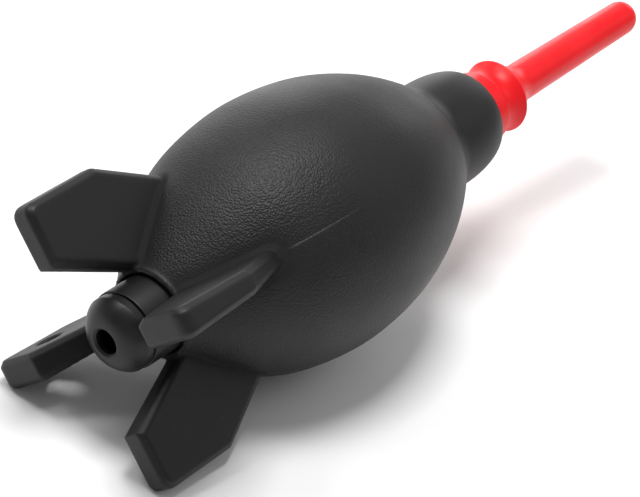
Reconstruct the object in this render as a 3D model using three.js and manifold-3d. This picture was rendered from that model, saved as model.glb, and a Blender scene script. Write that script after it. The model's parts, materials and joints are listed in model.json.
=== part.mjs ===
// Dust blower bulb for watch work: a rubber squeeze bulb with four tail fins, a one-way intake valve in
// the tail and a push-fit nozzle in the neck. Millimetres.
//
// Every piece is drawn along the blower's own axis: x runs from the feet of the fins (x = 0) to the tip
// of the nozzle, and r is the distance from the axis. The finished blower is then laid on its side, on
// its two lower fins and its belly, with +X towards the nozzle and +Z up.

import * as THREE from 'three';
import { mergeVertices } from 'three/addons/utils/BufferGeometryUtils.js';
import Module from 'manifold-3d';

const wasm = await Module();
wasm.setup();

// ---------------------------------------------------------------- driving dimensions

const GAP = 0.3; // between pieces that touch on the real object

// Bulb: points [x, r] of the outer surface, from the tail rim to the root of the neck.
const BULB_OUTLINE = [
  [19.4, 10.6], [26, 15.9], [34, 21.6], [44, 26.8], [56, 29.5],
  [67, 30], [80, 28.2], [92, 24], [102, 18.4], [107, 14.2],
];
const WALL_AT_TAIL = 5.4;
const WALL_AT_NECK = 2;
const TAIL_RIM_X = 18.4;
const TAIL_RIM_BEVEL = 0.8;
const TAIL_CORE_X = 33; // the tail bore opens into the hollow of the bulb here
const NECK_RADIUS = 13.3;
const NECK_ROOT_RADIUS = 13.2;
const NECK_ROOT_X = 109;
const NECK_LIP_X = 114; // the neck starts to round over into its lip
const NECK_END_X = 126.6;
const NECK_END_RADIUS = 9.5;
const NECK_CORE_X = 106.5; // the hollow of the bulb ends here
const CORE_STEP = 1; // the hollow is at least this much wider and shorter than its two bores

// Fins: a flat plate each with chamfered edges, thicker at the foot than at the nose.
const FIN_FOOT_THICKNESS = 6.8;
const FIN_NOSE_THICKNESS = 4;
const FIN_NOSE_X = 42;
const FIN_NOSE_RADIUS = 20.7;
const FIN_SHOULDER_X = 20.5;
const FIN_RADIUS = 32.6;
const FIN_FOOT_INNER_RADIUS = 19;
const FIN_ROOT_RADIUS = 9.9;
const FIN_BURIED = 6; // how far the outline runs on inside the bulb, before it is cut
const FIN_FOOT_CORNER = 3.2;
const FIN_SHOULDER_CORNER = 1.5;
const FIN_CHAMFER = 1.2; // along every edge of a fin
const LANYARD_HOLE = { x: 10, r: 24.5, radius: 3 };
const FINS = [
  { name: 'fin_top_left', angle: 45 },
  { name: 'fin_top_right', angle: 135 },
  { name: 'fin_bottom_right', angle: 225 },
  { name: 'fin_bottom_left', angle: 315, lanyard: true },
];

// Squeeze wall: the oval of the top wall that a thumb pushes in.
const SQUEEZE = { x: 68, halfLength: 24, halfWidth: 15, cutDepth: 40 };

// Intake valve, pushed into the tail.
const CAP_RADIUS = 8.5;
const CAP_FRONT_X = 4.8;
const CAP_SHOULDER_X = 8.6;
const CAP_DOME_END = 122; // degrees round the dome's ellipse, where it meets the cylinder at an edge
const CAP_JOINT_X = 10.5;
const CAP_WALL = 1.6;
const CAP_SPIGOT_RADIUS = 6.8;
const CAP_SPIGOT_END_X = 14.2;
const CAP_SPIGOT_WALL = 1;
const INTAKE_RADIUS = 2.85;
const INTAKE_CHAMFER = 0.45;
const HOUSING_RADIUS = 8.8;
const HOUSING_START_X = CAP_JOINT_X + GAP;
const HOUSING_END_X = 27;
const HOUSING_BORE = 7.1;
const VALVE_BEAD = { start: 21.5, end: 23.5, height: 0.8 }; // keeps the housing in the rubber tail
const SEAT_START_X = 15.6;
const SEAT_THICKNESS = 2;
const SEAT_LEDGE_THICKNESS = 0.9;
const SEAT_LEDGE_BORE = 6;
const SEAT_PORTS = { count: 6, radius: 1.1, circle: 3.5 };
const FLAP_RADIUS = 5.5;
const FLAP_THICKNESS = 1;
const FLAP_CROWN = 0.6; // radius of the flap's thick middle, as a part of the flap's radius
const FLAP_LIFT = 1.5;
const RETAINER_THICKNESS = 1.4;
const RETAINER_PORTS = { count: 6, radius: 1.3, circle: 4 };

// Neck bush and nozzle.
const BUSH_RADIUS = 8.7;
const BUSH_START_X = 110;
const BUSH_END_X = 131.2;
const BUSH_BODY_RADIUS = 10.4; // the wide part that the rubber lip holds in
const BUSH_SHOULDER_X = 121.5;
const BUSH_WALL = 1.6;
const BUSH_EDGE_BREAK = 0.3;
const BUSH_BORE = BUSH_RADIUS - BUSH_WALL;
const BOSS_START_X = BUSH_END_X + GAP;
const BOSS_RADIUS = 7.8;
const BOSS_WAIST = [134.3, 6.5]; // control point of the hollow curve from the boss to the flange
const FLANGE_RADIUS = 8.9;
const FLANGE_X = 137.7;
const FLANGE_ROUND = 0.5;
const FLANGE_BACK = [142.3, 4.9]; // control point of the curve from the flange down to the tube
const TUBE_START_X = 146;
const PLUG_START_X = 116;
const PLUG_TAPER = 0.4;
const PLUG_BORE = 4.8;
const PLUG_BORE_END_X = 133;
const TUBE_BORE = 2.4;
const TUBE_BORE_X = 140;
const TUBE_ROOT_RADIUS = 4.75;
const TUBE_TIP_RADIUS = 4.2;
const TIP_X = 192.5;
const ORIFICE_RADIUS = 1.6;
const ORIFICE_DEPTH = 0.4; // from the rounded tip back to the bore

const SEGMENTS = 40;
const SMALL_SEGMENTS = 28;

const COLORS = { rubber: 0x2a2a2b, plastic: 0x1d1d1e, flap: 0x3a3a3c, red: 0xe8222a };

// ---------------------------------------------------------------- shape helpers

// Points of an arc or quarter ellipse from one angle to another, in degrees: 0 is +x, 90 is +r.
function arc(x, r, radiusX, radiusR, from, to, steps = 6) {
  return Array.from({ length: steps + 1 }, (_, i) => {
    const angle = THREE.MathUtils.degToRad(from + (to - from) * i / steps);
    return [x + radiusX * Math.cos(angle), r + radiusR * Math.sin(angle)];
  });
}

// A smooth bend between two points, drawn towards a control point.
function bend(start, control, end, steps = 6) {
  const points = [start, control, end].map((point) => new THREE.Vector2(...point));
  return new THREE.QuadraticBezierCurve(...points).getPoints(steps).map(({ x, y }) => [x, y]);
}

// A closed [x, r] outline turned round the x axis: outside first, towards +x, then back inside.
function turned(outline, segments = SEGMENTS) {
  const profile = outline.map(([x, r]) => new THREE.Vector2(r, x));
  profile.push(profile[0].clone());
  return new THREE.LatheGeometry(profile, segments).rotateZ(-Math.PI / 2);
}

// A solid turned shape whose outline starts and ends on the axis.
function turnedSolid(outline, segments = SEGMENTS) {
  const profile = outline.map(([x, r]) => new THREE.Vector2(r, x));
  return new THREE.LatheGeometry(profile, segments).rotateZ(-Math.PI / 2);
}

// A round plate across the axis with a ring of ports.
function portedPlate(startX, thickness, radius, ports) {
  const disc = new THREE.Shape();
  disc.absarc(0, 0, radius, 0, 2 * Math.PI);
  for (let i = 0; i < ports.count; i += 1) {
    const angle = 2 * Math.PI * i / ports.count;
    const [x, y] = [ports.circle * Math.cos(angle), ports.circle * Math.sin(angle)];
    const hole = new THREE.Path();
    hole.absarc(x, y, ports.radius, 0, 2 * Math.PI, true);
    disc.holes.push(hole);
  }
  return new THREE.ExtrudeGeometry(disc, { depth: thickness, bevelEnabled: false, curveSegments: 8 })
    .rotateY(Math.PI / 2)
    .translate(startX, 0, 0);
}

function toManifold(geometry) {
  const bare = geometry.clone();
  bare.deleteAttribute('normal');
  bare.deleteAttribute('uv');
  const welded = mergeVertices(bare, 1e-4);
  return new wasm.Manifold(new wasm.Mesh({
    numProp: 3,
    vertProperties: new Float32Array(welded.attributes.position.array),
    triVerts: new Uint32Array(welded.index.array),
  }));
}

function toGeometry(solid) {
  const mesh = solid.getMesh();
  const geometry = new THREE.BufferGeometry();
  geometry.setAttribute('position', new THREE.BufferAttribute(new Float32Array(mesh.vertProperties), 3));
  geometry.setIndex(new THREE.BufferAttribute(new Uint32Array(mesh.triVerts), 1));
  geometry.computeVertexNormals();
  return geometry;
}

function piece(name, geometry, color, roughness) {
  const mesh = new THREE.Mesh(geometry, new THREE.MeshStandardMaterial({ color, roughness, metalness: 0 }));
  mesh.name = name;
  return mesh;
}

// ---------------------------------------------------------------- bulb

// The bulb's outer surface as a smooth curve, with its outward offset at each point.
function bulbCurve(steps, offsetAt) {
  const curve = new THREE.SplineCurve(BULB_OUTLINE.map(([x, r]) => new THREE.Vector2(x, r)));
  return Array.from({ length: steps + 1 }, (_, i) => {
    const point = curve.getPoint(i / steps);
    const tangent = curve.getTangent(i / steps);
    const offset = offsetAt(point.x);
    return [point.x - tangent.y * offset, point.y + tangent.x * offset];
  });
}

function neckLip(offset) {
  return arc(NECK_LIP_X, NECK_END_RADIUS, NECK_END_X - NECK_LIP_X + offset,
    NECK_RADIUS - NECK_END_RADIUS + offset, 90, 0, 8);
}

function wallThickness(x) {
  const along = (x - TAIL_RIM_X) / (NECK_CORE_X - TAIL_RIM_X);
  return THREE.MathUtils.lerp(WALL_AT_TAIL, WALL_AT_NECK, THREE.MathUtils.clamp(along, 0, 1));
}

// The groove that takes the bead of a plastic piece, seen in the bore from +x to -x.
function beadGroove(bore, bead) {
  return [
    [bead.end + GAP, bore],
    [bead.end + GAP, bore + bead.height],
    [bead.start - GAP, bore + bead.height],
    [bead.start - GAP, bore],
  ];
}

function bulbGeometry() {
  const tailBore = HOUSING_RADIUS + GAP;
  const neckBore = BUSH_RADIUS + GAP;
  const hollow = bulbCurve(15, (x) => -wallThickness(x))
    .filter(([x]) => x > TAIL_CORE_X + CORE_STEP && x < NECK_CORE_X - CORE_STEP)
    .filter(([, r]) => r > tailBore + CORE_STEP)
    .reverse();
  return turned([
    [TAIL_RIM_X, BULB_OUTLINE[0][1] - TAIL_RIM_BEVEL],
    ...bulbCurve(20, () => 0),
    [NECK_ROOT_X, NECK_ROOT_RADIUS],
    ...neckLip(0),
    [NECK_END_X, neckBore],
    [BUSH_SHOULDER_X + GAP, neckBore],
    [BUSH_SHOULDER_X + GAP, BUSH_BODY_RADIUS + GAP],
    [BUSH_START_X - GAP, BUSH_BODY_RADIUS + GAP],
    [BUSH_START_X - GAP, neckBore],
    [NECK_CORE_X, neckBore],
    ...hollow,
    [TAIL_CORE_X, tailBore],
    ...beadGroove(tailBore, VALVE_BEAD),
    [TAIL_RIM_X, tailBore],
  ]);
}

// The bulb without its hollow, a gap larger all round: what the fins are cut to.
function bulbEnvelope() {
  return turnedSolid([
    [TAIL_RIM_X, 0],
    [TAIL_RIM_X, BULB_OUTLINE[0][1] + GAP],
    ...bulbCurve(20, () => GAP).slice(1),
    [NECK_ROOT_X, NECK_RADIUS],
    [NECK_ROOT_X, 0],
  ]);
}

function squeezeOval(inset) {
  const oval = new THREE.Shape();
  oval.absellipse(SQUEEZE.x, 0, SQUEEZE.halfLength - inset, SQUEEZE.halfWidth - inset, 0, 2 * Math.PI);
  return new THREE.ExtrudeGeometry(oval, { depth: SQUEEZE.cutDepth, bevelEnabled: false, curveSegments: 16 });
}

// ---------------------------------------------------------------- fins

function finOutline() {
  const shoulder = new THREE.Vector2(FIN_SHOULDER_X, FIN_RADIUS);
  const nose = new THREE.Vector2(FIN_NOSE_X, FIN_NOSE_RADIUS);
  const slope = nose.clone().sub(shoulder).normalize();
  const afterShoulder = shoulder.clone().addScaledVector(slope, FIN_SHOULDER_CORNER);
  const buried = nose.clone().addScaledVector(slope, FIN_BURIED);
  const shape = new THREE.Shape();
  shape.moveTo(0, FIN_FOOT_INNER_RADIUS);
  shape.lineTo(TAIL_RIM_X + GAP, FIN_ROOT_RADIUS);
  shape.lineTo(TAIL_RIM_X + FIN_BURIED, FIN_ROOT_RADIUS);
  shape.lineTo(buried.x, buried.y);
  shape.lineTo(afterShoulder.x, afterShoulder.y);
  shape.quadraticCurveTo(shoulder.x, shoulder.y, shoulder.x - FIN_SHOULDER_CORNER, shoulder.y);
  shape.lineTo(FIN_FOOT_CORNER, FIN_RADIUS);
  shape.absarc(FIN_FOOT_CORNER, FIN_RADIUS - FIN_FOOT_CORNER, FIN_FOOT_CORNER, Math.PI / 2, Math.PI, false);
  shape.closePath();
  return shape;
}

function lanyardDrill() {
  const { x, r, radius } = LANYARD_HOLE;
  return new THREE.CylinderGeometry(radius, radius, 2 * FIN_FOOT_THICKNESS, SMALL_SEGMENTS)
    .rotateX(Math.PI / 2)
    .translate(x, r, 0);
}

function finGeometry(fin, envelope) {
  const depth = FIN_FOOT_THICKNESS - 2 * FIN_CHAMFER;
  const plate = new THREE.ExtrudeGeometry(finOutline(), {
    depth,
    bevelEnabled: true,
    bevelThickness: FIN_CHAMFER,
    bevelSize: FIN_CHAMFER,
    bevelOffset: -FIN_CHAMFER,
    bevelSegments: 1,
    curveSegments: 6,
  }).translate(0, 0, -depth / 2);
  taper(plate.attributes.position);
  const turn = THREE.MathUtils.degToRad(fin.angle);
  const solid = toManifold(plate.rotateX(turn)).subtract(envelope);
  return toGeometry(fin.lanyard ? solid.subtract(toManifold(lanyardDrill().rotateX(turn))) : solid);
}

// Thins a fin evenly from its foot to its nose.
function taper(position) {
  for (let i = 0; i < position.count; i += 1) {
    const along = position.getX(i) / FIN_NOSE_X;
    const factor = THREE.MathUtils.lerp(1, FIN_NOSE_THICKNESS / FIN_FOOT_THICKNESS, along);
    position.setZ(i, position.getZ(i) * factor);
  }
}

// ---------------------------------------------------------------- intake valve

// The cap's dome, from the flat round the intake hole to its edge with the cylinder.
function capDome() {
  const end = THREE.MathUtils.degToRad(CAP_DOME_END);
  const flatRadius = INTAKE_RADIUS + INTAKE_CHAMFER;
  const radiusX = (CAP_SHOULDER_X - CAP_FRONT_X) / (1 + Math.cos(end));
  const radiusR = (CAP_RADIUS - flatRadius) / Math.sin(end);
  return arc(CAP_FRONT_X + radiusX, flatRadius, radiusX, radiusR, 180, CAP_DOME_END, 8);
}

function capGeometry() {
  return turned([
    [CAP_FRONT_X + INTAKE_CHAMFER, INTAKE_RADIUS],
    ...capDome(),
    [CAP_JOINT_X, CAP_RADIUS],
    [CAP_JOINT_X, CAP_SPIGOT_RADIUS],
    [CAP_SPIGOT_END_X, CAP_SPIGOT_RADIUS],
    [CAP_SPIGOT_END_X, CAP_SPIGOT_RADIUS - CAP_SPIGOT_WALL],
    [CAP_SHOULDER_X, CAP_SPIGOT_RADIUS - CAP_SPIGOT_WALL],
    [CAP_FRONT_X + CAP_WALL, INTAKE_RADIUS + CAP_SPIGOT_WALL],
    [CAP_FRONT_X + CAP_WALL, INTAKE_RADIUS],
  ], SMALL_SEGMENTS);
}

function housingGeometry() {
  const ledgeX = SEAT_START_X + SEAT_THICKNESS + GAP;
  const bead = VALVE_BEAD;
  return turned([
    [HOUSING_START_X, HOUSING_RADIUS],
    [bead.start, HOUSING_RADIUS],
    [bead.start, HOUSING_RADIUS + bead.height],
    [bead.end, HOUSING_RADIUS + bead.height],
    [bead.end, HOUSING_RADIUS],
    [HOUSING_END_X, HOUSING_RADIUS],
    [HOUSING_END_X, HOUSING_BORE],
    [ledgeX + SEAT_LEDGE_THICKNESS, HOUSING_BORE],
    [ledgeX + SEAT_LEDGE_THICKNESS, SEAT_LEDGE_BORE],
    [ledgeX, SEAT_LEDGE_BORE],
    [ledgeX, HOUSING_BORE],
    [HOUSING_START_X, HOUSING_BORE],
  ], SMALL_SEGMENTS);
}

function flapGeometry(startX) {
  return turnedSolid([
    [startX, 0],
    [startX, FLAP_RADIUS],
    [startX + FLAP_THICKNESS / 2, FLAP_RADIUS],
    [startX + FLAP_THICKNESS, FLAP_CROWN * FLAP_RADIUS],
    [startX + FLAP_THICKNESS, 0],
  ], SMALL_SEGMENTS);
}

function valvePieces() {
  const flapX = SEAT_START_X + SEAT_THICKNESS + GAP;
  const retainerX = flapX + FLAP_THICKNESS + FLAP_LIFT + GAP;
  const plateRadius = HOUSING_BORE - GAP;
  const seat = portedPlate(SEAT_START_X, SEAT_THICKNESS, plateRadius, SEAT_PORTS);
  const retainer = portedPlate(retainerX, RETAINER_THICKNESS, plateRadius, RETAINER_PORTS);
  return [
    piece('intake_cap', capGeometry(), COLORS.plastic, 0.4),
    piece('valve_housing', housingGeometry(), COLORS.plastic, 0.45),
    piece('valve_seat', seat, COLORS.plastic, 0.5),
    piece('valve_flap', flapGeometry(flapX), COLORS.flap, 0.6),
    piece('valve_retainer', retainer, COLORS.plastic, 0.5),
  ];
}

// ---------------------------------------------------------------- neck bush and nozzle

function bushGeometry() {
  return turned([
    [BUSH_START_X, BUSH_BODY_RADIUS],
    [BUSH_SHOULDER_X, BUSH_BODY_RADIUS],
    [BUSH_SHOULDER_X, BUSH_RADIUS],
    [BUSH_END_X - BUSH_EDGE_BREAK, BUSH_RADIUS],
    [BUSH_END_X, BUSH_RADIUS - BUSH_EDGE_BREAK],
    [BUSH_END_X, BUSH_BORE],
    [BUSH_SHOULDER_X - BUSH_WALL, BUSH_BORE],
    [BUSH_SHOULDER_X - BUSH_WALL, BUSH_BODY_RADIUS - BUSH_WALL],
    [BUSH_START_X, BUSH_BODY_RADIUS - BUSH_WALL],
  ], SMALL_SEGMENTS);
}

function tubeRadius(x) {
  const along = (x - FLANGE_X) / (TIP_X - FLANGE_X);
  return THREE.MathUtils.lerp(TUBE_ROOT_RADIUS, TUBE_TIP_RADIUS, along);
}

function nozzleGeometry() {
  const plugRadius = BUSH_BORE - GAP;
  const rim = arc(FLANGE_X, FLANGE_RADIUS - FLANGE_ROUND, FLANGE_ROUND, FLANGE_ROUND, 125, 50, 4);
  const rimEnd = rim.at(-1);
  const tipCentreX = TIP_X - TUBE_TIP_RADIUS;
  return turned([
    [PLUG_START_X, plugRadius - PLUG_TAPER],
    [BOSS_START_X, plugRadius],
    ...bend([BOSS_START_X, BOSS_RADIUS], BOSS_WAIST, rim[0]).slice(0, -1),
    ...rim,
    ...bend(rimEnd, FLANGE_BACK, [TUBE_START_X, tubeRadius(TUBE_START_X)]).slice(1),
    ...arc(tipCentreX, 0, TUBE_TIP_RADIUS, TUBE_TIP_RADIUS, 90, 25, 6),
    [TIP_X - ORIFICE_DEPTH, ORIFICE_RADIUS],
    [TUBE_BORE_X, TUBE_BORE],
    [PLUG_BORE_END_X, PLUG_BORE],
    [PLUG_START_X, PLUG_BORE],
  ], SMALL_SEGMENTS);
}

// ---------------------------------------------------------------- laying it on its side

// Height of the lowest point of a mesh when the blower's nose is tipped up by an angle.
function lowestPoint(mesh, pitch) {
  const position = mesh.geometry.attributes.position;
  let lowest = Infinity;
  for (let i = 0; i < position.count; i += 1) {
    lowest = Math.min(lowest, position.getX(i) * Math.sin(pitch) + position.getZ(i) * Math.cos(pitch));
  }
  return lowest;
}

// The nose-up angle at which the belly and the lower fins stand on the same plane.
function restingPitch(bulb, lowerFin) {
  let low = 0;
  let high = 0.3;
  for (let i = 0; i < 40; i += 1) {
    const middle = (low + high) / 2;
    const bellyIsLower = lowestPoint(bulb, middle) < lowestPoint(lowerFin, middle);
    [low, high] = bellyIsLower ? [middle, high] : [low, middle];
  }
  return (low + high) / 2;
}

// ---------------------------------------------------------------- assembly

const shell = toManifold(bulbGeometry());
const bulb = piece('bulb_shell', toGeometry(shell.subtract(toManifold(squeezeOval(0)))), COLORS.rubber, 0.6);
const squeezeWall = piece(
  'squeeze_wall', toGeometry(shell.intersect(toManifold(squeezeOval(GAP)))), COLORS.rubber, 0.6);

const envelope = toManifold(bulbEnvelope());
const fins = FINS.map((fin) => piece(fin.name, finGeometry(fin, envelope), COLORS.rubber, 0.65));

const blower = new THREE.Group();
blower.add(bulb, squeezeWall, ...fins, ...valvePieces());
blower.add(piece('neck_bush', bushGeometry(), COLORS.red, 0.3));
blower.add(piece('nozzle', nozzleGeometry(), COLORS.red, 0.3));
blower.rotation.y = -restingPitch(bulb, fins[2]);

const model = new THREE.Group();
model.add(blower);
model.updateMatrixWorld(true);
const box = new THREE.Box3().setFromObject(model, true);
blower.position.set(-(box.min.x + box.max.x) / 2, -(box.min.y + box.max.y) / 2, -box.min.z);

export default model;
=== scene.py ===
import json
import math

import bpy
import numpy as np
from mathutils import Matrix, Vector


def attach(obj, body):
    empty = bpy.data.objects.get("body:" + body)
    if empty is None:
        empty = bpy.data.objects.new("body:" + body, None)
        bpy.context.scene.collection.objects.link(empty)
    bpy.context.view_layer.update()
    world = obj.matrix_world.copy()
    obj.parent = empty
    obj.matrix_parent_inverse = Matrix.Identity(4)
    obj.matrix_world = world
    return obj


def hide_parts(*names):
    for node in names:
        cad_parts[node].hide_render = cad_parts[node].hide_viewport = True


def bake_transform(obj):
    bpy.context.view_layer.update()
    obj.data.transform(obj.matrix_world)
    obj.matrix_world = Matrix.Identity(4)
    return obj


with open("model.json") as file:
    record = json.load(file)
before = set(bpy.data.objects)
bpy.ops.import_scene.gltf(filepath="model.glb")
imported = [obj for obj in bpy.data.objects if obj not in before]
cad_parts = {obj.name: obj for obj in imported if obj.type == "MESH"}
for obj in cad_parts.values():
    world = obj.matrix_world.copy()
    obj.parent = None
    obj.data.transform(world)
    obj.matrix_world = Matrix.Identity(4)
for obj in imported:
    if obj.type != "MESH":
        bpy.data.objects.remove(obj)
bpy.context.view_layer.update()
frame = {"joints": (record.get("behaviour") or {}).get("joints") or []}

# Looks of the dust blower bulb.
#
# Every piece is drawn in millimetres in the blower's own frame: x runs along its axis from the feet of the
# fins to the tip of the nozzle, y is to its left and z is up. The nozzle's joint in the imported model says
# where that axis lies, and placed() turns the millimetres into metres in the shared frame.
#
# The rubber bulb and its fins are moulded in one piece, so they are one skin. It is described by how far a
# point is from its surface, which gives the moulded fillets, and is then meshed.
#
# Outlines are lists of (x, r): how far along the axis, and how far from it. A third number is the radius that
# rounds a corner.

# ---------------------------------------------------------------- sizes, in millimetres

MM = 0.001
HALF_ROOT = math.sqrt(0.5)
NOZZLE_SEAT_X = 131.5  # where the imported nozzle's joint sits on the axis

# Bulb: points (x, radius) of the outer surface, from the tail rim to the root of the neck.
BULB_OUTLINE = [
    (19.4, 10.6), (26, 15.9), (34, 21.6), (44, 26.8), (56, 29.5),
    (67, 30), (80, 28.2), (92, 24), (102, 18.4), (107, 14.2),
]
WALL_AT_TAIL = 5.4
WALL_AT_NECK = 2
TAIL_RIM_X = 18.4
TAIL_RIM_RADIUS = 10.3
TAIL_BORE = 9.1
TAIL_MOUTH = 9.4  # the bore is a little wider at the rim
TAIL_MOUTH_DEPTH = 1.6
TAIL_CORE_X = 33
NECK_RADIUS = 13.3
NECK_ROOT_X = 109
NECK_LIP_X = 114
NECK_END_X = 126.6
NECK_END_RADIUS = 9.5
NECK_BORE = 9
NECK_CORE_X = 106.5
NECK_BURIED = 8  # how far behind NECK_CORE_X the neck starts, hidden in the bulb
BUSH_POCKET = {"start": 109.7, "end": 121.8, "radius": 10.7}
VALVE_GROOVE = {"start": 21.2, "end": 23.8, "radius": 9.9}

# Fins
FIN_FOOT_THICKNESS = 6.8
FIN_NOSE_THICKNESS = 4
FIN_NOSE = (42, 20.7)
FIN_SHOULDER = (20.5, 32.6)
FIN_FOOT_INNER_RADIUS = 19
FIN_ROOT = (18.7, 9.9)
FIN_BURIED = 6
FIN_FOOT_CORNER = 3.2
FIN_SHOULDER_CORNER = 1.5
FIN_CHAMFER = 1.2
FIN_EDGE = 0.25  # how softly the chamfers meet the faces
LANYARD_HOLE = {"x": 10, "r": 24.5, "radius": 3, "edge": 0.7}

# Fillets of the moulding
FIN_FILLET = 0.8
NECK_FILLET = 1.4
RIM_FILLET = 0.25

# Where the skin's grain fades out: from the fins' faces, along the bulb, into the neck and at the tail's rim.
GRAIN_FROM_FINS = (0.5, 4)
GRAIN_ALONG_BULB = (45, 80)
GRAIN_LOST_ALONG_BULB = 0.6
GRAIN_TO_NECK = (100, 106)
GRAIN_FROM_RIM = 4
CORNER_REACH = (0.3, 1.3)  # how far the dull corners round the fins reach

# Grid that the skin is meshed on: (start, end, step), along the axis and outwards from it.
GRID_ALONG = [(-0.9, 3, 0.3), (3, 26, 0.55), (26, 46, 0.8), (46, 104, 1.25), (104, 128.4, 0.65)]
GRID_OUTWARDS = [(0, 4.5, 0.45), (4.5, 12, 0.6), (12, 28, 1.0), (28, 34.2, 0.5)]

# Intake cap, valve and nozzle
CAP_RADIUS = 8.5
CAP_FRONT_X = 4.8
CAP_SHOULDER_X = 8.6
CAP_DOME_END = 122  # degrees round the dome's ellipse, where it meets the cylinder at an edge
CAP_JOINT_X = 10.5
CAP_WALL = 1.6
SPIGOT_RADIUS = 6.8
SPIGOT_WALL = 1
SPIGOT_END_X = 14.2
INTAKE_RADIUS = 2.85
INTAKE_CHAMFER = 0.45
HOUSING_RADIUS = 8.8
HOUSING_START_X = 10.8
HOUSING_END_X = 27
HOUSING_BORE = 7.1
VALVE_BEAD = {"start": 21.5, "end": 23.5, "height": 0.8}
SEAT_X = 15.6
SEAT_THICKNESS = 2
LEDGE_THICKNESS = 0.9
LEDGE_BORE = 6
FLAP_X = 17.9
FLAP_RADIUS = 5.5
FLAP_THICKNESS = 1
RETAINER_X = 20.7
RETAINER_THICKNESS = 1.4
PLATE_RADIUS = 6.8
PLATE_EDGE = 0.12
SEAT_PORTS = {"count": 6, "radius": 1.1, "circle": 3.5}
RETAINER_PORTS = {"count": 6, "radius": 1.3, "circle": 4}

BUSH_RADIUS = 8.7
BUSH_START_X = 110
BUSH_END_X = 131.2
BUSH_BODY_RADIUS = 10.4
BUSH_SHOULDER_X = 121.5
BUSH_WALL = 1.6
BOSS_RADIUS = 7.8
BOSS_WAIST = (134.3, 6.5)  # control point of the hollow curve from the boss to the flange
FLANGE_RADIUS = 8.9
FLANGE_X = 137.7
FLANGE_ROUND = 0.5
FLANGE_BACK = (142.3, 4.9)  # control point of the curve from the flange down to the tube
TUBE_START_X = 146
PLUG_RADIUS = 6.8
PLUG_START_X = 116
PLUG_TAPER = 0.4
PLUG_BORE = 4.8
PLUG_BORE_END_X = 133
TUBE_BORE = 2.4
TUBE_BORE_X = 140
TUBE_ROOT_RADIUS = 4.75
TUBE_TIP_RADIUS = 4.2
TIP_X = 192.5
ORIFICE_RADIUS = 1.6

# Camera and light, in the shared frame. Angles are in degrees, and azimuth 0 looks along +Y.
CAMERA = {"target": (-26.3, -5.3, 24.86), "azimuth": -58.28, "elevation": 34.28, "roll": 13.76,
          "distance": 601.7, "lens": 154.8}
# Softboxes aimed at the object: name, azimuth from +X and elevation in degrees, side in metres, brightness.
SOFTBOXES = [
    ("overhead", 100, 84, 0.42, 21),
    ("upper_left", 120, 58, 0.3, 11.5),
    ("back", 48, 10, 0.6, 3),
    ("back_left", 90, 22, 0.35, 4),
    ("back_right", 14, 16, 0.5, 2.2),
    ("right", 315, 40, 0.6, 1.2),
]
SOFTBOX_DISTANCE = 1.2
SOFTBOX_AIM = (0, 0, 0.03)
SKY = 0.3
FLOOR_HALF = 3  # metres


# ---------------------------------------------------------------- placing

def nozzle_joint():
    return next(joint for joint in frame["joints"] if joint["name"] == "nozzle_pull")


def blower_axes():
    """The blower's own origin, in metres, and its x, y and z directions, in the shared frame."""
    along = Vector(nozzle_joint()["axis"]).normalized()
    left = Vector((0, 1, 0))
    up = along.cross(left)
    origin = Vector(nozzle_joint()["pos_m"]) - along * NOZZLE_SEAT_X * MM
    return origin, along, left, up


ORIGIN, ALONG, LEFT, UP = blower_axes()


def placed(points):
    """Millimetres in the blower's frame to metres in the shared frame."""
    axes = np.array([ALONG, LEFT, UP])
    return np.asarray(points, float) * MM @ axes + np.array(ORIGIN)


def fin_plane_coordinates(points):
    """(x, across, within): across is square to the plane of the top right and bottom left fins."""
    x, y, z = np.asarray(points, float).T
    return np.stack([x, (y + z) * HALF_ROOT, (z - y) * HALF_ROOT], axis=1)


def from_fin_plane(points):
    x, across, within = np.asarray(points, float).T
    return np.stack([x, (across - within) * HALF_ROOT, (across + within) * HALF_ROOT], axis=1)


# ---------------------------------------------------------------- outlines

def arc(x, r, radius_x, radius_r, start, end, steps=12):
    """Points of an arc or quarter ellipse; angles in degrees, 0 is +x and 90 is +r."""
    angles = np.radians(np.linspace(start, end, steps + 1))
    return [(x + radius_x * math.cos(a), r + radius_r * math.sin(a)) for a in angles]


def bend(start, control, end, steps=14):
    """A smooth bend between two points, drawn towards a control point."""
    start, control, end = (np.array(point, float) for point in (start, control, end))
    return [tuple((1 - t) ** 2 * start + 2 * t * (1 - t) * control + t**2 * end)
            for t in np.linspace(0, 1, steps + 1)]


def catmull_rom(points, steps):
    """A smooth curve through the points, as points and unit tangents."""
    p = np.array([points[0], *points, points[-1]], float)
    where = np.linspace(0, len(points) - 1, steps + 1)
    i = np.minimum(where.astype(int), len(points) - 2)
    t = (where - i)[:, None]
    before, start, end, after = p[i], p[i + 1], p[i + 2], p[i + 3]
    leave, arrive = (end - before) / 2, (after - start) / 2
    cubic = 2 * start - 2 * end + leave + arrive
    square = -3 * start + 3 * end - 2 * leave - arrive
    curve = cubic * t**3 + square * t**2 + leave * t + start
    tangent = 3 * cubic * t**2 + 2 * square * t + leave
    return curve, tangent / np.linalg.norm(tangent, axis=1, keepdims=True)


def rounded(corners, steps=5):
    """A closed outline whose corners (x, r) or (x, r, radius) are rounded by arcs."""
    outline = []
    for i, corner in enumerate(corners):
        here = np.array(corner[:2], float)
        radius = corner[2] if len(corner) > 2 else 0
        if not radius:
            outline.append(tuple(here))
            continue
        before = np.array(corners[i - 1][:2], float) - here
        after = np.array(corners[(i + 1) % len(corners)][:2], float) - here
        before_length, after_length = np.linalg.norm(before), np.linalg.norm(after)
        before, after = before / before_length, after / after_length
        half = math.acos(np.clip(before @ after, -1, 1)) / 2
        reach = min(radius / math.tan(half), 0.49 * before_length, 0.49 * after_length)
        start, end = here + before * reach, here + after * reach
        outline.extend(bend(start, here, end, steps))
    return outline


# ---------------------------------------------------------------- distances

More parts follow.
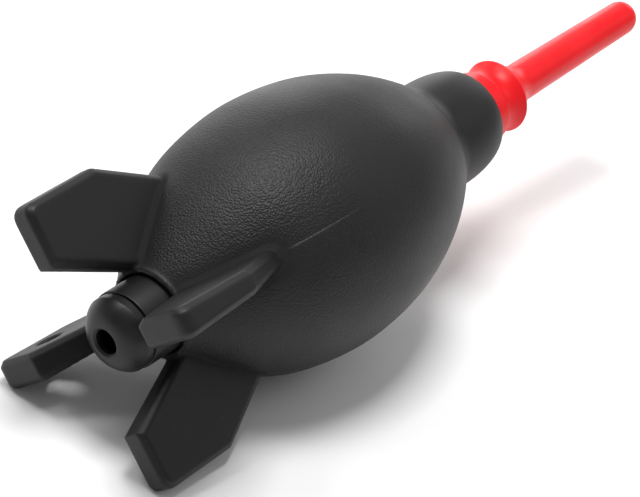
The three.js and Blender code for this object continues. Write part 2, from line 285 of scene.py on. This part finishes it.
class OutlineDistance:
    """Signed distance to a closed outline in a plane, negative inside, from a table made once."""

    STEP = 0.25

    def __init__(self, outline, low, high):
        self.low = np.array(low, float)
        self.count = np.ceil((np.array(high) - self.low) / self.STEP).astype(int) + 2
        axes = [self.low[k] + self.STEP * np.arange(self.count[k]) for k in range(2)]
        x, r = np.meshgrid(*axes, indexing="ij")
        nearest = np.full(x.shape, np.inf)
        inside = np.zeros(x.shape, bool)
        corners = np.array(outline, float)
        for start, end in zip(corners, np.roll(corners, -1, axis=0)):
            edge = end - start
            length = edge @ edge
            if length == 0:
                continue
            t = np.clip(((x - start[0]) * edge[0] + (r - start[1]) * edge[1]) / length, 0, 1)
            gap = (x - start[0] - t * edge[0]) ** 2 + (r - start[1] - t * edge[1]) ** 2
            np.minimum(nearest, gap, out=nearest)
            if edge[1]:
                crosses = (r < start[1]) != (r < end[1])
                inside ^= crosses & (x < start[0] + (r - start[1]) * edge[0] / edge[1])
        self.table = np.where(inside, -1, 1) * np.sqrt(nearest)

    def __call__(self, x, r):
        u = np.clip((x - self.low[0]) / self.STEP, 0, self.count[0] - 1.001)
        v = np.clip((r - self.low[1]) / self.STEP, 0, self.count[1] - 1.001)
        i, j = u.astype(int), v.astype(int)
        u, v = u - i, v - j
        near = self.table[i, j] * (1 - u) + self.table[i + 1, j] * u
        far = self.table[i, j + 1] * (1 - u) + self.table[i + 1, j + 1] * u
        return near * (1 - v) + far * v


def joined(a, b, fillet):
    """The nearer of two solids, with a fillet where they meet."""
    overlap = np.maximum(fillet - np.abs(a - b), 0)
    return np.minimum(a, b) - overlap**2 / (4 * fillet)


def cut(a, b, edge):
    """Solid a without solid b, with its new edge rounded."""
    return -joined(-a, b, edge)


def shared(a, b, edge):
    """Where two solids overlap, with the edges rounded."""
    return -joined(-a, -b, edge)


def smooth_step(low, high, value):
    t = np.clip((value - low) / (high - low), 0, 1)
    return t * t * (3 - 2 * t)


# ---------------------------------------------------------------- the rubber skin as distances

BELOW_AXIS = -10
TABLE_LOW, TABLE_HIGH = (-4, 0), (132, 48)


def bulb_outline():
    curve, _ = catmull_rom(BULB_OUTLINE, 240)
    return [(TAIL_RIM_X, BELOW_AXIS), (TAIL_RIM_X, TAIL_RIM_RADIUS), *map(tuple, curve),
            (NECK_ROOT_X, NECK_RADIUS - 0.4), (NECK_ROOT_X, BELOW_AXIS)]


def neck_outline():
    start = NECK_CORE_X - NECK_BURIED
    lip = arc(NECK_LIP_X, NECK_END_RADIUS, NECK_END_X - NECK_LIP_X, NECK_RADIUS - NECK_END_RADIUS, 90, 0, 40)
    return [(start, BELOW_AXIS), (start, NECK_RADIUS), *lip, (NECK_END_X, BELOW_AXIS)]


def wall_thickness(x):
    return np.interp(x, [TAIL_RIM_X, NECK_CORE_X], [WALL_AT_TAIL, WALL_AT_NECK])


def hollow_outline():
    curve, tangent = catmull_rom(BULB_OUTLINE, 120)
    wall = wall_thickness(curve[:, 0])
    inner = np.stack([curve[:, 0] + tangent[:, 1] * wall, curve[:, 1] - tangent[:, 0] * wall], axis=1)
    within = (inner[:, 0] > TAIL_CORE_X + 1) & (inner[:, 0] < NECK_CORE_X - 1) & (inner[:, 1] > TAIL_BORE + 1)
    outside_x = NECK_END_X + 20
    return [
        (-20, BELOW_AXIS), (-20, TAIL_MOUTH), (TAIL_RIM_X, TAIL_MOUTH),
        (TAIL_RIM_X + TAIL_MOUTH_DEPTH, TAIL_BORE),
        (VALVE_GROOVE["start"], TAIL_BORE), (VALVE_GROOVE["start"], VALVE_GROOVE["radius"]),
        (VALVE_GROOVE["end"], VALVE_GROOVE["radius"]), (VALVE_GROOVE["end"], TAIL_BORE),
        (TAIL_CORE_X, TAIL_BORE), *map(tuple, inner[within]), (NECK_CORE_X, NECK_BORE),
        (BUSH_POCKET["start"], NECK_BORE), (BUSH_POCKET["start"], BUSH_POCKET["radius"]),
        (BUSH_POCKET["end"], BUSH_POCKET["radius"]), (BUSH_POCKET["end"], NECK_BORE),
        (outside_x, NECK_BORE), (outside_x, BELOW_AXIS),
    ]


def fin_outline():
    shoulder, nose = np.array(FIN_SHOULDER, float), np.array(FIN_NOSE, float)
    slope = (nose - shoulder) / np.linalg.norm(nose - shoulder)
    buried = nose + slope * FIN_BURIED
    top = shoulder[1]
    return rounded([
        (0, FIN_FOOT_INNER_RADIUS),
        FIN_ROOT,
        (FIN_ROOT[0] + FIN_BURIED, FIN_ROOT[1]),
        tuple(buried),
        (shoulder[0], top, FIN_SHOULDER_CORNER),
        (0, top, FIN_FOOT_CORNER),
    ], steps=10)


bulb_distance = OutlineDistance(bulb_outline(), TABLE_LOW, TABLE_HIGH)
neck_distance = OutlineDistance(neck_outline(), TABLE_LOW, TABLE_HIGH)
hollow_distance = OutlineDistance(hollow_outline(), TABLE_LOW, TABLE_HIGH)
fin_distance = OutlineDistance(fin_outline(), TABLE_LOW, TABLE_HIGH)


def fins(x, across, within):
    """Distance to the nearest of the four fins, which lie along +-across and +-within."""
    on_across = np.abs(across) > np.abs(within)
    r = np.where(on_across, np.abs(across), np.abs(within))
    side = np.where(on_across, within, across)
    half_thickness = np.interp(x, [0, FIN_NOSE[0]], [FIN_FOOT_THICKNESS / 2, FIN_NOSE_THICKNESS / 2])
    in_outline = fin_distance(x, r)
    in_thickness = np.abs(side) - half_thickness
    chamfer = (in_outline + in_thickness + FIN_CHAMFER) * HALF_ROOT
    plate = shared(np.maximum(in_outline, in_thickness), chamfer, FIN_EDGE)
    hole = np.hypot(x - LANYARD_HOLE["x"], r - LANYARD_HOLE["r"]) - LANYARD_HOLE["radius"]
    drilled = cut(plate, hole, LANYARD_HOLE["edge"])
    return np.where(~on_across & (within < 0), drilled, plate)


def skin(points):
    """Signed distance, in millimetres, to the rubber of the bulb and its fins."""
    x, across, within = points.T
    r = np.hypot(across, within)
    body = joined(bulb_distance(x, r), neck_distance(x, r), NECK_FILLET)
    body = joined(body, fins(x, across, within), FIN_FILLET)
    return cut(body, hollow_distance(x, r), RIM_FILLET)


# ---------------------------------------------------------------- meshing the skin

def graded(*stretches):
    """Grid lines: each stretch is (start, end, step), and the next one starts where it ends."""
    lines = []
    for start, end, step in stretches:
        lines.extend(np.linspace(start, end, max(1, round((end - start) / step)), endpoint=False))
    lines.append(stretches[-1][1])
    return np.array(lines)


def surface_net(axes, values):
    """Quads round the zero surface of values on a grid, one point in each cell that it passes through."""
    cells = np.array([len(axis) - 1 for axis in axes])
    stride = np.array([cells[1] * cells[2], cells[2], 1])
    ids, crossings, quads = [], [], []
    for k in range(3):
        u, v = (k + 1) % 3, (k + 2) % 3
        low = np.take(values, range(cells[k]), axis=k)
        high = np.take(values, range(1, cells[k] + 1), axis=k)
        at = np.array(np.nonzero((low < 0) != (high < 0)))
        here, there = low[tuple(at)], high[tuple(at)]
        crossing = np.array([axes[m][at[m]] for m in range(3)], float)
        crossing[k] += here / (here - there) * (axes[k][at[k] + 1] - axes[k][at[k]])
        cell = stride @ at
        corners = [cell - stride[u] - stride[v], cell - stride[v], cell, cell - stride[u]]
        quad = np.stack(corners, axis=1)
        quads.append(np.where((here < 0)[:, None], quad, quad[:, ::-1]))
        ids.extend(corners)
        crossings.extend([crossing.T] * 4)
    used, index = np.unique(np.concatenate(ids), return_inverse=True)
    crossings = np.concatenate(crossings)
    count = np.bincount(index)
    points = np.stack([np.bincount(index, crossings[:, m]) / count for m in range(3)], axis=1)
    return points, np.searchsorted(used, np.concatenate(quads))


def gradient(distance, points, step=0.06):
    slopes = []
    for k in range(3):
        shift = np.zeros(3)
        shift[k] = step
        slopes.append((distance(points + shift) - distance(points - shift)) / (2 * step))
    return np.stack(slopes, axis=1)


def settle(distance, points, rounds=3):
    """Moves points straight onto the surface, a little at a time."""
    least_steepness = 0.2
    longest_move = 0.4
    for _ in range(rounds):
        slope = gradient(distance, points)
        steepness = np.maximum((slope**2).sum(axis=1), least_steepness)
        move = np.clip(distance(points) / steepness, -longest_move, longest_move)
        points = points - slope * move[:, None]
    return points


def relax(distance, points, quads, rounds=4):
    """Evens out the points along the surface, so that the quads are regular."""
    ends = np.concatenate([quads[:, [k, (k + 1) % 4]] for k in range(4)])
    count = np.bincount(ends[:, 0], minlength=len(points))[:, None]
    for _ in range(rounds):
        sums = [np.bincount(ends[:, 0], points[ends[:, 1], m], len(points)) for m in range(3)]
        pull = np.stack(sums, axis=1) / count - points
        normal = gradient(distance, points)
        normal /= np.maximum(np.linalg.norm(normal, axis=1, keepdims=True), 1e-6)
        pull -= normal * (pull * normal).sum(axis=1, keepdims=True)
        points = settle(distance, points + 0.5 * pull, rounds=1)
    return points


def skin_mesh():
    along = graded(*GRID_ALONG)
    inwards = [(-end, -start, step) for start, end, step in reversed(GRID_OUTWARDS)]
    radial = graded(*inwards, *GRID_OUTWARDS)
    axes = (along, radial, radial)
    values = np.empty([len(axis) for axis in axes])
    across, within = np.meshgrid(radial, radial, indexing="ij")
    for i, x in enumerate(along):
        layer = np.stack([np.full(across.size, x), across.ravel(), within.ravel()], axis=1)
        values[i] = skin(layer).reshape(across.shape)
    points, quads = surface_net(axes, values)
    points = settle(skin, points)
    points = relax(skin, points, quads)
    return settle(skin, points), quads


# ---------------------------------------------------------------- pieces

def new_piece(name, points, faces, material):
    """A smooth-shaded piece from points in millimetres in the blower's frame."""
    mesh = bpy.data.meshes.new(name)
    mesh.from_pydata(placed(points).tolist(), [], [list(map(int, face)) for face in faces])
    mesh.polygons.foreach_set("use_smooth", [True] * len(mesh.polygons))
    mould = mesh.attributes.new("mould", "FLOAT_VECTOR", "POINT")
    mould.data.foreach_set("vector", fin_plane_coordinates(points).astype(np.float32).ravel())
    mesh.materials.append(material)
    mesh.validate()
    piece = bpy.data.objects.new(name, mesh)
    bpy.context.scene.collection.objects.link(piece)
    return piece


def add_values(piece, name, values):
    attribute = piece.data.attributes.new(name, "FLOAT", "POINT")
    attribute.data.foreach_set("value", values.astype(np.float32))


def turned(name, outline, material, segments=128, crease=35):
    """A closed outline of (x, r) points turned round the blower's axis."""
    angles = np.arange(segments) * 2 * math.pi / segments
    ring = np.array([(x, r * math.cos(a), r * math.sin(a)) for a in angles for x, r in outline])
    count = len(outline)
    faces = []
    for s in range(segments):
        here, there = s * count, (s + 1) % segments * count
        for i in range(count):
            j = (i + 1) % count
            faces.append((here + i, there + i, there + j, here + j))
    piece = new_piece(name, ring, faces, material)
    piece.data.set_sharp_from_angle(angle=math.radians(crease))
    return piece


def add_circle(flat, x, y, radius, steps):
    spline = flat.splines.new("POLY")
    spline.use_cyclic_u = True
    spline.points.add(steps - 1)
    for i, point in enumerate(spline.points):
        angle = 2 * math.pi * i / steps
        point.co = (x + radius * math.cos(angle), y + radius * math.sin(angle), 0, 1)


def ported_plate(name, start_x, thickness, ports, material):
    """A round plate across the axis with a ring of ports, from a flat curve with rounded edges."""
    flat = bpy.data.curves.new(name, "CURVE")
    flat.dimensions = "2D"
    flat.fill_mode = "BOTH"
    flat.extrude = thickness / 2 - PLATE_EDGE
    flat.bevel_depth = PLATE_EDGE
    flat.bevel_resolution = 2
    add_circle(flat, 0, 0, PLATE_RADIUS - PLATE_EDGE, steps=96)
    for i in range(ports["count"]):
        angle = 2 * math.pi * i / ports["count"]
        centre = ports["circle"] * math.cos(angle), ports["circle"] * math.sin(angle)
        add_circle(flat, *centre, ports["radius"] + PLATE_EDGE, steps=32)
    carrier = bpy.data.objects.new(name + "_outline", flat)
    bpy.context.scene.collection.objects.link(carrier)
    bpy.context.view_layer.update()
    evaluated = carrier.evaluated_get(bpy.context.evaluated_depsgraph_get())
    mesh = bpy.data.meshes.new_from_object(evaluated)
    points = np.array([(start_x + thickness / 2 + v.co.z, v.co.x, v.co.y) for v in mesh.vertices])
    faces = [tuple(face.vertices) for face in mesh.polygons]
    bpy.data.objects.remove(carrier)
    bpy.data.meshes.remove(mesh)
    piece = new_piece(name, points, faces, material)
    piece.data.set_sharp_from_angle(angle=math.radians(35))
    return piece


# ---------------------------------------------------------------- materials

RUBBER_BLACK = (0.005, 0.005, 0.0055, 1)
RUBBER_GREYED = (0.008, 0.008, 0.009, 1)
RUBBER_DUST = (0.02, 0.02, 0.021, 1)
# The parting seam: a real ridge drawn by a bump, and a lighter grey along it that is a painted highlight on
# that ridge. Both fade out along the bulb.
SEAM_PAINTED_HIGHLIGHT_GREY = (0.03, 0.03, 0.033, 1)
SEAM_AND_HIGHLIGHT_HALF_WIDTH = (0.1, 0.35)  # millimetres from the fins' plane
SEAM_AND_HIGHLIGHT_FADE_X = (46, 62)
PEBBLE_SIZE = 0.45
GRAIN_DEPTH = 0.095
FLAP_DARK = (0.05, 0.05, 0.053, 1)
FLAP_LIGHT = (0.08, 0.08, 0.084, 1)
RED_DEEP = (0.82, 0.007, 0.012, 1)
RED_LIGHT = (0.88, 0.010, 0.015, 1)
FLOOR_SHADES = (0.90, 0.90, 0.90, 1), (0.93, 0.93, 0.93, 1)


class Material:
    """A node material and short ways to add and link its nodes."""

    def __init__(self, name):
        self.data = bpy.data.materials.new(name)
        self.data.use_nodes = True
        self.tree = self.data.node_tree
        self.shader = self.tree.nodes["Principled BSDF"]

    def node(self, kind, inputs=None, **settings):
        node = self.tree.nodes.new(kind)
        for key, value in settings.items():
            setattr(node, key, value)
        for key, value in (inputs or {}).items():
            self.feed(node.inputs[key], value)
        return node

    def feed(self, socket, value):
        if isinstance(value, bpy.types.NodeSocket):
            self.tree.links.new(value, socket)
        else:
            socket.default_value = value

    def attribute(self, name):
        return self.node("ShaderNodeAttribute", attribute_name=name)

    def noise(self, where, size, detail=2, roughness=0.5, distortion=0):
        """Noise from 0 to 1 with features about size millimetres across."""
        node = self.node("ShaderNodeTexNoise", {
            "Vector": where, "Scale": 1 / size, "Detail": detail, "Roughness": roughness,
            "Distortion": distortion,
        })
        return node.outputs["Fac"]

    def pebbles(self, where, size):
        """Rounded pebbles about size millimetres across: 1 on their tops, falling to 0 between them."""
        node = self.node("ShaderNodeTexVoronoi", {
            "Vector": where, "Scale": 1 / size, "Smoothness": 0.5, "Randomness": 1.0,
        }, feature="SMOOTH_F1")
        return self.mapped(node.outputs["Distance"], 0, 0.8, 1, 0)

    def mapped(self, value, low, high, to_low, to_high):
        node = self.node("ShaderNodeMapRange", {
            "Value": value, "From Min": low, "From Max": high, "To Min": to_low, "To Max": to_high,
        })
        return node.outputs["Result"]

    def maths(self, operation, a, b=0.0):
        return self.node("ShaderNodeMath", {0: a, 1: b}, operation=operation).outputs[0]

    def mixed(self, factor, a, b):
        node = self.node("ShaderNodeMix", {"Factor": factor, 6: a, 7: b}, data_type="RGBA")
        return node.outputs[2]

    def bump(self, height, depth, normal=None):
        """depth is the height in millimetres of a full step from 0 to 1."""
        inputs = {"Height": height, "Distance": depth * MM, "Strength": 1.0}
        if normal is not None:
            inputs["Normal"] = normal
        return self.node("ShaderNodeBump", inputs).outputs["Normal"]

    def set(self, **sockets):
        for key, value in sockets.items():
            self.feed(self.shader.inputs[key.replace("_", " ")], value)


def rubber():
    """Satin black rubber: leathery grain on the bulb, smoother on the fins and neck, duller where dust
    gathers in the corners round the fins, and a faint parting line: a real ridge, with a painted highlight
    in lighter grey along it."""
    m = Material("rubber")
    where = m.attribute("mould").outputs["Vector"]
    grainy = m.attribute("grain").outputs["Fac"]
    place = m.node("ShaderNodeSeparateXYZ", {"Vector": where})
    beside = m.mapped(m.maths("ABSOLUTE", place.outputs["Y"]), *SEAM_AND_HIGHLIGHT_HALF_WIDTH, 1, 0)
    fading = m.mapped(place.outputs["X"], *SEAM_AND_HIGHLIGHT_FADE_X, 1, 0)
    seam_and_highlight = m.maths("MULTIPLY", m.maths("MULTIPLY", beside, fading), grainy)
    patches = m.noise(where, 14, detail=3)
    creases = m.noise(where, 0.4, detail=2, distortion=0.5)
    grain = m.maths("ADD", m.pebbles(where, PEBBLE_SIZE), m.maths("MULTIPLY", creases, 0.5))
    pores = m.noise(where, 0.3, detail=2)
    dust = m.noise(where, 2.2, detail=5, roughness=0.7)
    base = m.mixed(m.mapped(patches, 0.35, 0.65, 0, 1), RUBBER_BLACK, RUBBER_GREYED)
    base = m.mixed(m.mapped(dust, 0.6, 0.75, 0, 0.3), base, RUBBER_DUST)
    # painted highlight: lighter grey along the seam ridge
    base = m.mixed(m.maths("MULTIPLY", seam_and_highlight, 0.3), base, SEAM_PAINTED_HIGHLIGHT_GREY)
    rough = m.mapped(patches, 0.3, 0.7, 0.46, 0.56)
    rough = m.maths("ADD", rough, m.mapped(pores, 0.3, 0.7, -0.03, 0.03))
    rough = m.maths("ADD", rough, m.maths("MULTIPLY", m.attribute("corner").outputs["Fac"], 0.4))
    depth = m.maths("MULTIPLY", grain, m.mapped(grainy, 0, 1, 0.05, 1))
    coarse = m.bump(depth, GRAIN_DEPTH)
    fine = m.bump(pores, 0.012, normal=coarse)
    line = m.bump(seam_and_highlight, 0.15, normal=fine)
    m.set(Base_Color=base, Roughness=rough, Normal=line)
    m.set(Specular_IOR_Level=0.375, IOR=1.5)
    return m.data


def black_plastic(shade, roughness):
    """Satin moulded plastic with a fine, even texture and slightly rubbed patches."""
    m = Material("black_plastic")
    where = m.attribute("mould").outputs["Vector"]
    patches = m.noise(where, 6, detail=4)
    texture = m.noise(where, 0.25, detail=2)
    dark = (shade, shade, shade * 1.04, 1)
    light = (shade * 1.5, shade * 1.5, shade * 1.55, 1)
    m.set(Base_Color=m.mixed(m.mapped(patches, 0.35, 0.7, 0, 1), dark, light))
    m.set(Roughness=m.mapped(patches, 0.3, 0.7, roughness - 0.05, roughness + 0.07))
    m.set(Normal=m.bump(texture, 0.012))
    m.set(Specular_IOR_Level=0.32, IOR=1.5)
    return m.data


def flap_rubber():
    m = Material("flap_rubber")
    where = m.attribute("mould").outputs["Vector"]
    patches = m.noise(where, 2, detail=3)
    m.set(Base_Color=m.mixed(patches, FLAP_DARK, FLAP_LIGHT))
    m.set(Roughness=m.mapped(patches, 0.3, 0.7, 0.55, 0.7))
    m.set(Normal=m.bump(m.noise(where, 0.3), 0.02))
    return m.data


def red_plastic():
    """Semi-gloss moulded plastic with faint flow ripples along the tube."""
    m = Material("red_plastic")
    where = m.attribute("mould").outputs["Vector"]
    patches = m.noise(where, 9, detail=3)
    ripple = m.noise(where, 2.5, detail=1)
    texture = m.noise(where, 0.4, detail=2)
    m.set(Base_Color=m.mixed(m.mapped(patches, 0.3, 0.7, 0, 1), RED_DEEP, RED_LIGHT))
    m.set(Roughness=m.mapped(patches, 0.3, 0.7, 0.34, 0.44))
    m.set(Normal=m.bump(texture, 0.004, normal=m.bump(ripple, 0.015)))
    m.set(Specular_IOR_Level=0.25, IOR=1.5)
    return m.data


def pale_floor():
    m = Material("pale_floor")
    where = m.node("ShaderNodeTexCoord").outputs["Object"]
    patches = m.node("ShaderNodeTexNoise", {"Vector": where, "Scale": 3.0}).outputs["Fac"]
    m.set(Base_Color=m.mixed(patches, *FLOOR_SHADES), Roughness=0.8)
    return m.data


# ---------------------------------------------------------------- making the pieces

def make_skin():
    points, quads = skin_mesh()
    x, across, within = points.T
    piece = new_piece("rubber_skin", from_fin_plane(points), quads, rubber())
    from_fins = fins(x, across, within)
    from_bulb = bulb_distance(x, np.hypot(across, within))
    grain = smooth_step(*GRAIN_FROM_FINS, from_fins)
    grain = grain * (1 - GRAIN_LOST_ALONG_BULB * smooth_step(*GRAIN_ALONG_BULB, x))
    grain = grain * (1 - smooth_step(*GRAIN_TO_NECK, x))
    grain = grain * smooth_step(TAIL_RIM_X, TAIL_RIM_X + GRAIN_FROM_RIM, x)
    corner = 1 - smooth_step(*CORNER_REACH, np.maximum(np.abs(from_fins), np.abs(from_bulb)))
    add_values(piece, "grain", grain)
    add_values(piece, "corner", corner)
    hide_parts("bulb_shell", "squeeze_wall", "fin_top_left", "fin_top_right",
                "fin_bottom_right", "fin_bottom_left")
    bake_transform(piece)


def cap_dome():
    """From the flat round the intake hole to the dome's edge with the cylinder."""
    end = math.radians(CAP_DOME_END)
    flat_radius = INTAKE_RADIUS + INTAKE_CHAMFER
    radius_x = (CAP_SHOULDER_X - CAP_FRONT_X) / (1 + math.cos(end))
    radius_r = (CAP_RADIUS - flat_radius) / math.sin(end)
    return arc(CAP_FRONT_X + radius_x, flat_radius, radius_x, radius_r, 180, CAP_DOME_END, 28)


def make_cap(material):
    bore = INTAKE_RADIUS
    *dome, shoulder = cap_dome()
    outline = rounded([
        (CAP_FRONT_X + INTAKE_CHAMFER, bore),
        *dome,
        (*shoulder, 0.15),
        (CAP_JOINT_X, CAP_RADIUS, 0.2),
        (CAP_JOINT_X, SPIGOT_RADIUS),
        (SPIGOT_END_X, SPIGOT_RADIUS, 0.2),
        (SPIGOT_END_X, SPIGOT_RADIUS - SPIGOT_WALL, 0.2),
        (CAP_SHOULDER_X, SPIGOT_RADIUS - SPIGOT_WALL),
        (CAP_FRONT_X + CAP_WALL, bore + 1),
        (CAP_FRONT_X + CAP_WALL, bore, 0.2),
    ])
    piece = turned("intake_cap_shell", outline, material)
    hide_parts("intake_cap")
    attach(piece, "bulb")


def make_housing(material):
    ledge = FLAP_X
    ledge_end = ledge + LEDGE_THICKNESS
    bead = VALVE_BEAD
    outline = rounded([
        (HOUSING_START_X, HOUSING_RADIUS, 0.25),
        (bead["start"], HOUSING_RADIUS),
        (bead["start"], HOUSING_RADIUS + bead["height"], 0.3),
        (bead["end"], HOUSING_RADIUS + bead["height"], 0.3),
        (bead["end"], HOUSING_RADIUS),
        (HOUSING_END_X, HOUSING_RADIUS, 0.4),
        (HOUSING_END_X, HOUSING_BORE, 0.2),
        (ledge_end, HOUSING_BORE),
        (ledge_end, LEDGE_BORE, 0.1),
        (ledge, LEDGE_BORE, 0.1),
        (ledge, HOUSING_BORE),
        (HOUSING_START_X, HOUSING_BORE, 0.2),
    ])
    piece = turned("valve_sleeve", outline, material)
    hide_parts("valve_housing")
    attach(piece, "bulb")


def make_valve(material):
    seat = ported_plate("seat_plate", SEAT_X, SEAT_THICKNESS, SEAT_PORTS, material)
    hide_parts("valve_seat")
    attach(seat, "bulb")
    retainer = ported_plate("retainer_plate", RETAINER_X, RETAINER_THICKNESS, RETAINER_PORTS,
                            material)
    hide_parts("valve_retainer")
    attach(retainer, "bulb")
    on_axis = 0.02
    flap = turned("flap_disc", rounded([
        (FLAP_X, on_axis),
        (FLAP_X, FLAP_RADIUS, 0.15),
        (FLAP_X + FLAP_THICKNESS / 2, FLAP_RADIUS, 0.15),
        (FLAP_X + FLAP_THICKNESS, 0.6 * FLAP_RADIUS, 0.3),
        (FLAP_X + FLAP_THICKNESS, on_axis),
    ]), flap_rubber(), segments=96)
    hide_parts("valve_flap")
    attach(flap, "valve_flap")


def make_bush(material):
    bore = BUSH_RADIUS - BUSH_WALL
    body_bore = BUSH_BODY_RADIUS - BUSH_WALL
    body_end_x = BUSH_SHOULDER_X - BUSH_WALL
    outline = rounded([
        (BUSH_START_X, BUSH_BODY_RADIUS, 0.4),
        (BUSH_SHOULDER_X, BUSH_BODY_RADIUS, 0.3),
        (BUSH_SHOULDER_X, BUSH_RADIUS),
        (BUSH_END_X, BUSH_RADIUS, 0.3),
        (BUSH_END_X, bore, 0.3),
        (body_end_x, bore),
        (body_end_x, body_bore),
        (BUSH_START_X, body_bore, 0.3),
    ])
    piece = turned("neck_ring", outline, material)
    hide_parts("neck_bush")
    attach(piece, "bulb")


def tube_radius(x):
    return float(np.interp(x, [FLANGE_X, TIP_X], [TUBE_ROOT_RADIUS, TUBE_TIP_RADIUS]))


def make_nozzle(material):
    rim = arc(FLANGE_X, FLANGE_RADIUS - FLANGE_ROUND, FLANGE_ROUND, FLANGE_ROUND, 125, 50, 8)
    waist = bend((NOZZLE_SEAT_X, BOSS_RADIUS), BOSS_WAIST, rim[0])
    back = bend(rim[-1], FLANGE_BACK, (TUBE_START_X, tube_radius(TUBE_START_X)))
    tip = arc(TIP_X - TUBE_TIP_RADIUS, 0, TUBE_TIP_RADIUS, TUBE_TIP_RADIUS, 90, 25, 16)
    outline = rounded([
        (PLUG_START_X, PLUG_RADIUS - PLUG_TAPER, 0.4),
        (NOZZLE_SEAT_X, PLUG_RADIUS),
        (NOZZLE_SEAT_X, BOSS_RADIUS, 0.2),
        *waist[1:-1], *rim, *back[1:], *tip,
        (TIP_X - 0.4, ORIFICE_RADIUS, 0.2),
        (TUBE_BORE_X, TUBE_BORE),
        (PLUG_BORE_END_X, PLUG_BORE),
        (PLUG_START_X, PLUG_BORE, 0.3),
    ])
    piece = turned("nozzle_tube", outline, material)
    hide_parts("nozzle")
    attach(piece, "nozzle")


# ---------------------------------------------------------------- floor, camera and light

def make_floor():
    corners = [(x * FLOOR_HALF, y * FLOOR_HALF, 0) for x, y in ((-1, -1), (1, -1), (1, 1), (-1, 1))]
    mesh = bpy.data.meshes.new("floor")
    mesh.from_pydata(corners, [], [(0, 1, 2, 3)])
    mesh.materials.append(pale_floor())
    floor = bpy.data.objects.new("floor", mesh)
    bpy.context.scene.collection.objects.link(floor)


def make_camera():
    azimuth, elevation, roll = (math.radians(CAMERA[key]) for key in ("azimuth", "elevation", "roll"))
    back = Vector((math.sin(azimuth) * math.cos(elevation), -math.cos(azimuth) * math.cos(elevation),
                   math.sin(elevation)))
    level = Vector((math.cos(azimuth), math.sin(azimuth), 0))
    right = level * math.cos(roll) + back.cross(level) * math.sin(roll)
    up = back.cross(right)
    data = bpy.data.cameras.new("camera")
    data.lens = CAMERA["lens"]
    data.sensor_width = 36
    data.clip_end = 20
    camera = bpy.data.objects.new("camera", data)
    camera.matrix_world = Matrix((right, up, back)).transposed().to_4x4()
    camera.location = (Vector(CAMERA["target"]) + back * CAMERA["distance"]) * MM
    bpy.context.scene.collection.objects.link(camera)
    bpy.context.scene.camera = camera


def make_softbox(name, azimuth, elevation, side, brightness):
    azimuth, elevation = math.radians(azimuth), math.radians(elevation)
    outwards = Vector((math.cos(azimuth) * math.cos(elevation), math.sin(azimuth) * math.cos(elevation),
                       math.sin(elevation)))
    data = bpy.data.lights.new(name, "AREA")
    data.shape = "SQUARE"
    data.size = side
    data.energy = brightness * math.pi * side**2
    light = bpy.data.objects.new(name, data)
    light.location = Vector(SOFTBOX_AIM) + outwards * SOFTBOX_DISTANCE
    light.rotation_mode = "QUATERNION"
    light.rotation_quaternion = outwards.to_track_quat("Z", "Y")
    bpy.context.scene.collection.objects.link(light)


def make_lights():
    world = bpy.data.worlds.new("studio")
    world.use_nodes = True
    background = world.node_tree.nodes["Background"]
    background.inputs["Color"].default_value = (1, 1, 1, 1)
    background.inputs["Strength"].default_value = SKY
    bpy.context.scene.world = world
    bpy.context.scene.view_settings.view_transform = "Standard"
    for softbox in SOFTBOXES:
        make_softbox(*softbox)


# ---------------------------------------------------------------- scene

make_camera()
make_lights()
make_floor()
make_skin()

satin_black = black_plastic(shade=0.007, roughness=0.4)
make_cap(satin_black)
make_housing(satin_black)
make_valve(satin_black)

gloss_red = red_plastic()
make_bush(gloss_red)
make_nozzle(gloss_red)
